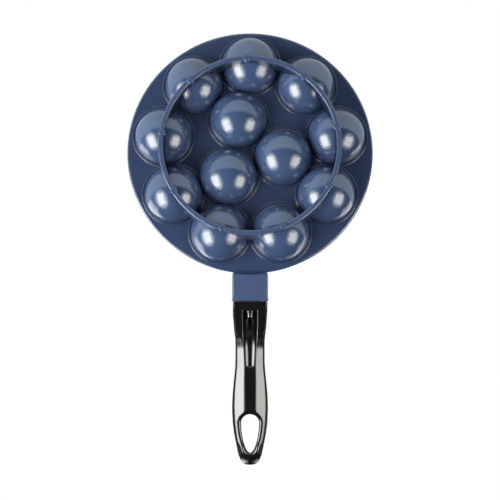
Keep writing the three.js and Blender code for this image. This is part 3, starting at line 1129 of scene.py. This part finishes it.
floor_size, floor_drop = 6, 0.0002
floor_tone, floor_glow = (0.22, 0.22, 0.22, 1), 0.6
white = (1, 1, 1, 1)
fade_from, fade_to = 0.35, 1.4
choose(camera)
bpy.ops.mesh.primitive_plane_add(size=floor_size, location=(0, 0, -floor_drop))
floor = bpy.context.object
floor.name = "floor"
floor_paint, tree, shader = stage_material("pale_floor")
set_inputs(shader, {"Base Color": floor_tone, "Roughness": 1, "Specular IOR Level": 0})
set_inputs(shader, {"Emission Color": white, "Emission Strength": floor_glow})
where = (add_node(tree, "TexCoord"), "Object")
reach = math_node(tree, "LENGTH", where, kind="VectorMath")
fade = ramp(tree, (reach, "Value"), fade_from, fade_to)
far_white = add_node(tree, "Emission")
paints = {1: (shader, "BSDF"), 2: (far_white, "Emission")}
faded = add_node(tree, "MixShader", {"Fac": (fade, "Result"), **paints})
side = add_node(tree, "NewGeometry")
clear = add_node(tree, "BsdfTransparent")
sides = {1: (faded, "Shader"), 2: (clear, "BSDF")}
seen_through = add_node(tree, "MixShader", {"Fac": (side, "Backfacing"), **sides})
set_inputs(tree.nodes["Material Output"], {"Surface": (seen_through, "Shader")})
floor.data.materials.append(floor_paint)
for ray in ("diffuse", "glossy", "transmission", "volume_scatter", "shadow"):
    setattr(floor, "visible_" + ray, False)
print("Floor:", floor_size, "m wide, white from", fade_to, "m")

# %% [markdown]
# Glossy paint shows the room, so the room is built too. Deep blacks mean a dark room with a bright
# opening beyond the far rim, so it is a sphere, cut open there and at its top. Three dark cards
# round the handle darken its facets and the sleeve's end, as a photographer's do. Only reflections
# see any of these.

# %% The dark room and its cards
room_radius = 4
roof_from, opening_tilt = math.radians(30), math.radians(25)
opening_height = 0.03
room_tone = (0.03, 0.03, 0.032, 1)
choose(camera)
bpy.ops.mesh.primitive_uv_sphere_add(segments=48, ring_count=24, radius=room_radius)
shell = bpy.context.object
shell.name = "dark_room"
pick(shell, lambda p, spot: spot.z > room_radius * math.sin(roof_from), "polygons")
bpy.ops.mesh.delete(type="FACE")
bpy.ops.mesh.select_all(action="SELECT")
bpy.ops.mesh.bisect(
    plane_co=(0, pan_centre * mm, opening_height),
    plane_no=(0, math.cos(opening_tilt), math.sin(opening_tilt)),
    clear_outer=True,
)
leave_edit()
cards = []
# Place, turn and size of each card, in metres
for place, turned_by, scale in (
    ((-0.045, -0.135, 0.095), (0, math.pi / 2, 0), (0.13, 0.16, 1)),
    ((0.045, -0.135, 0.095), (0, math.pi / 2, 0), (0.13, 0.16, 1)),
    ((0, -0.216, 0.115), (math.pi / 2, 0, 0), (0.09, 0.13, 1)),
):
    choose(camera)
    bpy.ops.mesh.primitive_plane_add(size=1, location=place, rotation=turned_by)
    card = bpy.context.object
    card.scale = scale
    bpy.ops.object.transform_apply()
    card.name = "dark_card"
    cards.append(card)
dark_paint, tree, shader = stage_material("dark_wall")
set_inputs(shader, {"Base Color": room_tone, "Roughness": 1})
for dark in (shell, *cards):
    dark.data.materials.append(dark_paint)
    dark.visible_camera = False
    dark.visible_shadow = False
    dark.visible_diffuse = False
print("Dark room:", len(shell.data.polygons), "faces and", len(cards), "cards")

# %% [markdown]
# Two soft lamps beside the camera light the underside, the left one stronger. Each is a bright
# window with a larger, fainter oval behind it, because the glints in the photograph have a bright
# middle and a soft edge. The others are a fill, a panel beyond the rim and the lamps that light the
# pan from above, which matter when it is turned over.


# %% A soft lamp
def soft_lamp(name, aim_from, distance, size, power, colour, shape="RECTANGLE"):
    """A soft lamp that looks at the pan from a direction, at a distance in metres."""
    target = Vector((0, pan_centre, lamp_aim)) * mm
    place = target + Vector(aim_from).normalized() * distance
    choose(camera)
    bpy.ops.object.light_add(type="AREA", location=place)
    lamp = bpy.context.object
    lamp.name = name
    back = (place - target).normalized()
    across = Vector((0, 1, 0)).cross(back).normalized()
    turn = Matrix((across, back.cross(across), back)).transposed()
    lamp.rotation_euler = turn.to_euler()
    lamp.data.shape = shape
    lamp.data.size, lamp.data.size_y = size
    lamp.data.energy = power
    lamp.data.color = colour
    lamp.visible_camera = False
    return lamp


lamp_aim = 25

# %% Place the lamps
left_from, right_from = (0.734, -0.394, -0.545), (-0.734, -0.394, -0.545)
left_glow, right_glow = (1, 1, 0.96), (1, 0.99, 0.94)
# Name, direction, distance, width and height in metres, watts, colour
soft_lamp("lamp_left", left_from, 1.3, (0.66, 0.94), 10.2, left_glow)
soft_lamp("lamp_left_edge", left_from, 1.31, (1.2, 1.6), 10.6, left_glow, "ELLIPSE")
soft_lamp("lamp_right", right_from, 1.3, (0.7, 0.78), 5.6, right_glow)
soft_lamp("lamp_right_edge", right_from, 1.31, (1.16, 1.34), 5.1, right_glow, "ELLIPSE")
soft_lamp("table_left", (0.66, -0.46, 0.6), 1.5, (1.7, 0.9), 14, (0.95, 0.99, 1))
soft_lamp("table_right", (-0.66, -0.42, 0.6), 1.5, (1.2, 0.9), 6, (1, 0.99, 0.98))
far_panel = soft_lamp("far_panel", (0, 0.75, -0.66), 1.6, (1.8, 1.1), 4, (0.85, 0.93, 1))
left_fill = soft_lamp("left_fill", (0.93, 0.05, -0.37), 1.4, (0.8, 0.8), 13, (0.9, 0.96, 1))
for lamp in (far_panel, left_fill):
    lamp.visible_glossy = False
soft_lamp("lamp_above", (0.2, 0.1, 1), 1.6, (1.6, 1.6), 12, (1, 1, 1))
print("Lamps:", len(bpy.data.lights))

# %% [markdown]
# The background is plain white, and it is the world itself. Lit by a white world, the navy would
# turn pale, so the world is bright only for the camera and for reflections, and dim as a light.
# Reflections see it a little cooler than the camera does.

# %% The white world
dim, bright = 0.05, 1
cool_white = (0.8, 0.91, 1, 1)
world = bpy.data.worlds.new("white_room")
bpy.context.scene.world = world
world.use_nodes = True
tree = world.node_tree
backdrop = tree.nodes["Background"]
rays = add_node(tree, "LightPath")
seen = math_node(tree, "MAXIMUM", (rays, "Is Camera Ray"), (rays, "Is Glossy Ray"))
seen_too = math_node(tree, "MAXIMUM", (seen, "Value"), (rays, "Is Transmission Ray"))
levels = {"Value": (seen_too, "Value"), "To Min": dim, "To Max": bright}
level = add_node(tree, "MapRange", levels)
cooler = mixed(tree, (rays, "Is Camera Ray"), cool_white, white)
set_inputs(backdrop, {"Strength": (level, "Result"), "Color": (cooler, 2)})
bpy.context.scene.view_settings.view_transform = "Standard"
print("World:", bright, "for the camera,", dim, "as a light")
